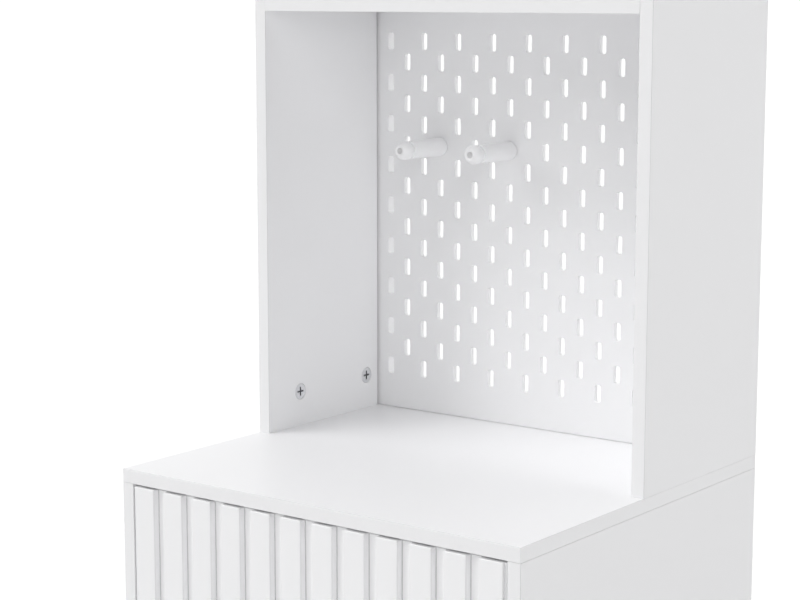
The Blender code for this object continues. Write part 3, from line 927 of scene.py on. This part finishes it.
pegboard = hardboard("pegboard")
first_slot = (panel_low + panel_high) / 2 + Vector(
    ((1 - SLOT_COLUMNS) * SLOT_PITCH / 2, 0, (1 - SLOT_ROWS) * SLOT_PITCH / 2)
)
stagger = Vector((SLOT_PITCH, 0, SLOT_PITCH))
even_slots = spread_over_grid(slot_cutter(first_slot), (SLOT_COLUMNS + 1) // 2, (SLOT_ROWS + 1) // 2)
odd_slots = spread_over_grid(slot_cutter(first_slot + stagger), SLOT_COLUMNS // 2, SLOT_ROWS // 2)
cut_away(pegboard, even_slots)
cut_away(pegboard, odd_slots)
hand_over(pegboard, "white_panel", "pegboard")
print(f"pegboard: {len(pegboard.data.polygons)} faces")

# %% [markdown]
# ## Pegs
#
# The pegs are turned from beech and painted: a slim body that widens a little to its base, a thin neck, and
# a ball with a wide, soft dish at its tip. A turned piece is one outline spun about its axis. The outline
# starts as a single point and is extruded from point to point, with arcs where the piece is round.
# %% Spin a turned piece
TURNED_STEPS = 40
SIDEWAYS = Vector((1, 0, 0))


def arc(centre, radius, start, end, steps):
    """Points of radius and length along an arc, in degrees."""
    angles = [math.radians(start + (end - start) * i / steps) for i in range(steps + 1)]
    return [Vector((centre[0] + radius * math.cos(a), centre[1] + radius * math.sin(a))) for a in angles]


def spun(name, outline, foot, forward):
    """Spin an outline of radius and length about an axis that starts at foot and runs along forward."""
    places = [foot + SIDEWAYS * point[0] + forward * point[1] for point in outline]
    bpy.ops.mesh.primitive_plane_add(size=NEAR, location=places[0])
    piece = settle_place(bpy.context.object)
    piece.name = name
    bpy.ops.object.mode_set(mode="EDIT")
    bpy.ops.mesh.select_mode(type="VERT")
    bpy.ops.mesh.select_all(action="SELECT")
    bpy.ops.mesh.merge(type="CENTER")
    for here, there in zip(places, places[1:]):
        pull(there - here)
    bpy.ops.mesh.select_all(action="SELECT")
    bpy.ops.mesh.spin(steps=TURNED_STEPS, angle=math.radians(360), center=foot, axis=forward)
    bpy.ops.mesh.select_all(action="SELECT")
    bpy.ops.mesh.remove_doubles(threshold=NEAR)
    bpy.ops.mesh.normals_make_consistent(inside=False)
    close()
    return piece


print("helpers ready: arc, spun")

# %% [markdown]
# The paint on the pegs is thicker than on the panels and a touch glossier. Under it the end of the grain
# still shows as a faint stretch along the peg. The middle of each dish is painted grey: painted shade for
# the soft shade that the dish holds.

# %% Model the pegs
PEG_RADIUS = 0.0088
PEG_TAPER = 0.0004
PEG_FOOT_ROUNDING = 0.0016
BALL_RADIUS = 0.0090
NECK_RADIUS = 0.0070
NECK_WIDTH = 0.0014
SHOULDER_ROUNDING = 0.0009
DISH_RADIUS = 0.0046
DISH_DEPTH = 0.0030
# DISH_SHADE is the share of the dish's radius that is painted grey as painted shade.
DISH_SHADE = 0.60
BALL_STEPS, DISH_STEPS, SHOULDER_STEPS, FOOT_STEPS = 18, 6, 4, 5
STUD_RADIUS = 0.0027
STUD_SOCKET = 0.012
FORWARD = Vector((0, -1, 0))

peg_paint = make_finish(
    "white_painted_beech", peel, ((0.932, 0.932, 0.940), (0.948, 0.948, 0.956)),
    grain=0.0016, patch=0.01, roughness=0.38, spread=0.10, relief=0.000012, stretch=(1, 0.18, 1),
)


def peg_outline(reach, stem_radius, stem_length):
    """From the dish over the ball, the neck and the body to a socket, or a tenon of negative length."""
    ball_middle = reach - math.sqrt(BALL_RADIUS**2 - DISH_RADIUS**2)
    tip_angle = math.degrees(math.acos(DISH_RADIUS / BALL_RADIUS))
    neck_angle = -math.degrees(math.acos(NECK_RADIUS / BALL_RADIUS))
    ball = arc((0, ball_middle), BALL_RADIUS, tip_angle, neck_angle, BALL_STEPS)
    shares = [i / DISH_STEPS for i in range(DISH_STEPS)]
    depths = [DISH_DEPTH * (1 + math.cos(math.pi * share)) / 2 for share in shares]
    dish = [Vector((DISH_RADIUS * share, ball[0].y - depth)) for share, depth in zip(shares, depths)]
    shoulder = ball[-1].y - NECK_WIDTH
    shoulder_ring = (PEG_RADIUS - PEG_TAPER - SHOULDER_ROUNDING, shoulder - SHOULDER_ROUNDING)
    rounding = arc(shoulder_ring, SHOULDER_ROUNDING, 90, 0, SHOULDER_STEPS)
    foot_ring = (PEG_RADIUS - PEG_FOOT_ROUNDING, PEG_FOOT_ROUNDING)
    foot = arc(foot_ring, PEG_FOOT_ROUNDING, 0, -90, FOOT_STEPS)
    stem = [Vector(point) for point in ((stem_radius, 0), (stem_radius, stem_length), (0, stem_length))]
    return dish + ball + [Vector((NECK_RADIUS, shoulder))] + rounding + foot + stem


def peg_foot(node, tenon=0):
    """The middle of a peg's foot, in front of its tenon."""
    low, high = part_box(node)
    return Vector(((low.x + high.x) / 2, high.y - tenon, (low.z + high.z) / 2))


def turned_peg(node, foot, stem_radius, stem_length):
    """Spin a peg that stands out forward from its foot, with painted shade in the middle of its dish."""
    tip = Vector((foot.x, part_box(node)[0].y, foot.z))
    outline = peg_outline(foot.y - tip.y, stem_radius, stem_length)
    piece = spun(f"{node}_turned", outline, foot, FORWARD)
    piece.data.materials.append(peg_paint)
    # The middle of the dish is painted grey: painted shade.
    paint(
        piece,
        grey_primer,
        lambda middle, normal: abs(middle.y - tip.y) < DISH_DEPTH + NEAR
        and math.hypot(middle.x - tip.x, middle.z - tip.z) < DISH_RADIUS * DISH_SHADE,
    )
    return hand_over(piece, "white_peg", node)


for hand in SIGNS:
    node = f"peg_{hand}"
    piece = turned_peg(node, peg_foot(node), STUD_RADIUS + FIT, STUD_SOCKET + FIT)
    print(f"{piece.name}: {len(piece.data.polygons)} faces")

# %% [markdown]
# Behind the panel each peg is held by a plastic stud: a shank through the slot, and a bar that lies across
# the slot until the peg is twisted. The bar is a box with round ends, and the shank is joined to it.

# %% Model the studs
BAR_EASE = 0.0004
BAR_ROUNDNESS = 0.9
BAR_STEPS = 8
STUD_BAR_WIDTH = 0.0055
STUD_BAR_THICKNESS = 0.003
SHANK_SIDES = 24

white_plastic = make_finish(
    "white_plastic", pearl, ((0.76, 0.76, 0.765), (0.80, 0.80, 0.805)),
    grain=0.0012, patch=0.02, roughness=0.46, spread=0.10, relief=0.000008,
)


def round_ended_bar(name, low, high, thin):
    """A flat bar with round ends, thin along one axis, with eased faces."""
    size = Vector(high) - Vector(low)
    narrow = min(size[axis] for axis in range(3) if axis != thin)
    bar = start_box(name, low, high)
    round_edges(bar, BAR_ROUNDNESS * narrow / 2, BAR_STEPS, lambda middle, along: abs(along[thin]) > ALONG)
    round_edges(bar, BAR_EASE, EASE_STEPS, lambda middle, along: abs(along[thin]) < 1 - ALONG)
    return bar


for hand in SIGNS:
    node = f"peg_{hand}_stud"
    low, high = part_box(node)
    middle = (low + high) / 2
    piece = round_ended_bar(
        f"{node}_lock",
        (low.x, high.y - STUD_BAR_THICKNESS, middle.z - STUD_BAR_WIDTH / 2),
        (high.x, high.y, middle.z + STUD_BAR_WIDTH / 2),
        thin=Y,
    )
    shank_end = high.y - STUD_BAR_THICKNESS / 2
    shank_middle = (middle.x, (low.y + shank_end) / 2, middle.z)
    cut_away(piece, start_rod(shank_middle, "Y", STUD_RADIUS, shank_end - low.y, SHANK_SIDES), "UNION")
    piece.data.materials.append(white_plastic)
    hand_over(piece, "white_plastic", node)
print("studs: 2, behind the pegboard")

# %% [markdown]
# ## The coat rail
#
# Above the shelf a rail carries three larger pegs for coats. The rail is one more faced board with three
# bores, and each peg is the same outline as below, only longer, with a tenon that is glued into its bore.

# %% Model the rail and its pegs
TENON_RADIUS = 0.005
TENON_LENGTH = 0.009

rail_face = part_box("coat_rail")[0].y
rail = faced_board("coat_rail", "-x +x")
for place in ("left", "middle", "right"):
    node = f"coat_peg_{place}"
    foot = peg_foot(node, TENON_LENGTH)
    drill(rail, (foot.x, rail_face, foot.z), "Y", TENON_RADIUS + FIT, 2 * (TENON_LENGTH + FIT))
    turned_peg(node, foot, TENON_RADIUS, -TENON_LENGTH)
hand_over(rail, "white_board", "coat_rail")
print("coat rail: 3 pegs, bored and glued")

# %% [markdown]
# ## Thin panels
#
# The backs and the drawer bottoms are hardboard like the pegboard, but only their good side is painted. The
# other side is raw: brown pressed fibre with the print of the screen that it was pressed on. That print is
# two crossed waves, and the fibre a noise. The raw side shows only from behind and from below.

# %% Build the raw hardboard
SCREEN_WAVE = 0.0014
WAVE_RATE = 20

fibre, source, output = new_group("pressed_fibre")
strands = noise_of_size(fibre, source, "Grain", detail=5.0)
join(fibre, strands, "Fac", output, "Drift")
spread_gloss(fibre, source, strands, output)
screen = add(fibre, "ShaderNodeMath", operation="ADD")
wave_scale = 1 / SCREEN_WAVE / WAVE_RATE
for number, direction in enumerate(("X", "Z")):
    wires = add(fibre, "ShaderNodeTexWave", {"Scale": wave_scale}, bands_direction=direction)
    join(fibre, source, "Place", wires, "Vector")
    join(fibre, wires, "Fac", screen, number)
rough = add(fibre, "ShaderNodeMath", operation="ADD")
join(fibre, screen, 0, rough, 0)
join(fibre, strands, "Fac", rough, 1)
join(fibre, rough, 0, output, "Height")

raw_fibre = make_finish(
    "raw_hardboard", fibre, ((0.16, 0.085, 0.042), (0.34, 0.20, 0.11)),
    grain=0.0022, roughness=0.72, spread=0.15, relief=0.00004,
)
print(f"finish: {raw_fibre.name}")

# %% Model the panels
BEHIND = Vector((0, 1, 0))
BELOW = Vector((0, 0, -1))
RAW_SIDES = {
    "cabinet_back": BEHIND,
    "upper_back_panel": BEHIND,
    "drawer_upper_bottom": BELOW,
    "drawer_lower_bottom": BELOW,
}
for node, raw_side in RAW_SIDES.items():
    piece = hardboard(node)
    paint(piece, raw_fibre, lambda middle, normal: normal.dot(raw_side) > ALONG)
    hand_over(piece, "white_panel", node)
print(f"thin panels: {len(RAW_SIDES)}")

# %% [markdown]
# ## Drawer boxes
#
# Behind each fluted front stands a plain box: two sides, a back, and the bottom panel in grooves of the
# sides. They are faced boards too. The saw for their grooves runs along the drawer and a little past both
# ends.

# %% Model the drawer boxes
for level in LEVELS:
    for hand, sign in SIGNS.items():
        node = f"drawer_{level}_side_{hand}"
        side = groove(faced_board(node, "-y"), node, f"drawer_{level}_bottom", sign, Y)
        hand_over(side, "white_board", node)
    node = f"drawer_{level}_back"
    hand_over(faced_board(node, "-x +x"), "white_board", node)
print("drawer boxes: 2, each with two grooved sides and a back")

# %% [markdown]
# ## Slides
#
# Each drawer runs on two steel slides of two members: a channel on the cabinet side and a smaller one on
# the drawer, which lies inside it. A channel could be swept along a path. By hand it is a flat bar:
# bisected close to its long edges, the two narrow strips extruded into flanges, and the long edges rounded
# as a roll leaves them. Rolled steel with a zinc skin has fine lines along its length and a bluish tone.

# %% Finish of the slides
rolled_zinc = make_finish(
    "zinc_plated_steel", metal, ((0.56, 0.57, 0.59), (0.70, 0.71, 0.73)),
    grain=0.0009, patch=0.01, roughness=0.34, spread=0.22, relief=0.00001,
    metallic=1.0, stretch=(1, 0.04, 1),
)
print(f"finish: {rolled_zinc.name}")

# %% Model a slide member
SHEET = 0.0012
SHEET_ROUNDING = 0.0005
SLIDE_HOLES = (0.035, 0.150, 0.265)
HOLE_RADIUS = 0.0022
HOLE_DEPTH = 4 * SHEET
UPWARD = (0, 0, 1)
WEB_SIDES = {
    f"slide_{level}_{hand}_{member}": web_side
    for level in LEVELS
    for hand, sign in SIGNS.items()
    for member, web_side in (("cabinet", sign), ("drawer", -sign))
}


def channel(node, web_side):
    """A channel with its web towards web_side, -1 for left or 1 for right, and its flanges to the other."""
    low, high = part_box(node)
    web_low, web_high = (low.x, low.x + SHEET) if web_side < 0 else (high.x - SHEET, high.x)
    piece = start_box(f"{node}_channel", (web_low, low.y, low.z), (web_high, high.y, high.z))
    bottom, top = low.z + SHEET, high.z - SHEET
    slice_at(piece, UPWARD, (bottom, top))
    pick_faces(
        piece, lambda middle, normal: normal.x * web_side < -ALONG and not bottom < middle.z < top
    )
    reach = high.x - low.x - SHEET
    pull((-web_side * reach, 0, 0))
    close()
    join_flat(piece)
    round_edges(piece, SHEET_ROUNDING, EASE_STEPS, lambda middle, along: abs(along.y) > ALONG)
    middle_z = (low.z + high.z) / 2
    for along in SLIDE_HOLES:
        drill(piece, ((web_low + web_high) / 2, low.y + along, middle_z), "X", HOLE_RADIUS, HOLE_DEPTH)
    piece.data.materials.append(rolled_zinc)
    return piece


for node, web_side in WEB_SIDES.items():
    hand_over(channel(node, web_side), "zinc_steel", node)
print(f"slides: {len(WEB_SIDES)} members")

# %% [markdown]
# The members are screwed on through their holes. A pan-head screw is turned like a peg: its outline is an
# arc for the head and a straight shank, spun about the screw's axis, with the cross recess cut after. It is
# modelled once with its head up, and copied to every hole, to show its head in the channel.

# %% Model one screw
SCREW_HEAD_RADIUS = 0.0033
SCREW_HEAD_HEIGHT = 0.0019
SCREW_DOME = 0.45
SCREW_DOME_STEPS = 6
SCREW_SHANK_RADIUS = 0.0016
SCREW_SHANK_LENGTH = 0.0011
SCREW_CROSS = (0.0034, 0.0008, 0.0014)

head_rise = SCREW_HEAD_HEIGHT * SCREW_DOME
dome = arc((0, 0), 1, 90, 0, SCREW_DOME_STEPS)
outline = [Vector((p.x * SCREW_HEAD_RADIUS, SCREW_HEAD_HEIGHT - head_rise * (1 - p.y))) for p in dome]
outline += [
    Vector((SCREW_HEAD_RADIUS, 0)),
    Vector((SCREW_SHANK_RADIUS, 0)),
    Vector((SCREW_SHANK_RADIUS, -SCREW_SHANK_LENGTH)),
    Vector((0, -SCREW_SHANK_LENGTH)),
]
screw_model = spun("screw_model", outline, Vector((0, 0, 0)), Vector(UPWARD))
screw_model.data.materials.append(rolled_zinc)
cut_cross(screw_model, *SCREW_CROSS, SCREW_HEAD_HEIGHT)
print(f"screw: {len(screw_model.data.polygons)} faces")

# %% Copy the screw into the slides
for node, web_side in WEB_SIDES.items():
    low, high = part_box(node)
    face_x = low.x + SHEET if web_side < 0 else high.x - SHEET
    turn = (0, math.radians(90) * -web_side, 0)
    for number, along in enumerate(SLIDE_HOLES, start=1):
        place = (face_x, low.y + along, (low.z + high.z) / 2)
        piece = copy_of(screw_model, f"{node}_screw_{number}", place, turn)
        hand_over(piece, "zinc_steel", body=frame["nodes"][node]["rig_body"])
print(f"slide screws: {len(WEB_SIDES) * len(SLIDE_HOLES)}")

# %% [markdown]
# ## Feet and wall brackets
#
# Plastic pads under the sides keep the boards off a wet floor. They are flat bars with round ends, like the
# studs. Two steel angles under the top board take the wall screws that stop a tall stand from tipping. An
# angle is a bar with one strip extruded over, its bend rounded, and the hole for the wall screw drilled.

# %% Model the pads
for end in ("front", "rear"):
    for hand in SIGNS:
        node = f"foot_pad_{end}_{hand}"
        piece = round_ended_bar(f"{node}_glide", *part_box(node), thin=Z)
        piece.data.materials.append(white_plastic)
        hand_over(piece, "white_plastic", node)
print("foot pads: 4")

# %% Model the wall brackets
BRACKET_SHEET = 0.002
BRACKET_CORNER = 0.004
BRACKET_CORNER_STEPS = 6
BRACKET_BEND = 0.0015
BRACKET_BEND_STEPS = 4
BRACKET_HOLE = 0.003
BRACKET_HOLE_DEPTH = 4 * BRACKET_SHEET


def wall_bracket(node):
    """A steel angle: a leaf against the wall, and a leaf under the top board."""
    low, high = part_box(node)
    piece = start_box(f"{node}_angle", (low.x, high.y - BRACKET_SHEET, low.z), high)
    under = high.z - BRACKET_SHEET
    slice_at(piece, UPWARD, (under,))
    pick_faces(piece, lambda middle, normal: normal.y < -ALONG and middle.z > under)
    reach = high.y - low.y - BRACKET_SHEET
    pull((0, -reach, 0))
    close()
    join_flat(piece)
    round_edges(
        piece, BRACKET_CORNER, BRACKET_CORNER_STEPS,
        lambda middle, along: (abs(along.y) > ALONG and middle.z < low.z + NEAR)
        or (abs(along.z) > ALONG and middle.y < low.y + NEAR),
    )
    round_edges(
        piece, BRACKET_BEND, BRACKET_BEND_STEPS,
        lambda middle, along: abs(along.x) > ALONG
        and middle.z > high.z - NEAR
        and middle.y > high.y - NEAR,
    )
    middle = (low + high) / 2
    wall_hole = (middle.x, high.y - BRACKET_SHEET / 2, (low.z + high.z - BRACKET_SHEET) / 2)
    drill(piece, wall_hole, "Y", BRACKET_HOLE, BRACKET_HOLE_DEPTH)
    piece.data.materials.append(rolled_zinc)
    return piece


for hand in SIGNS:
    node = f"wall_bracket_{hand}"
    hand_over(wall_bracket(node), "zinc_steel", node)
    low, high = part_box(node)
    place = ((low.x + high.x) / 2, (low.y + high.y - BRACKET_SHEET) / 2, high.z - BRACKET_SHEET)
    screw = copy_of(screw_model, f"{node}_screw", place, FACE_DOWN)
    hand_over(screw, "zinc_steel", body="stand")
bpy.data.objects.remove(screw_model)
print("wall brackets: 2, each with its screw")
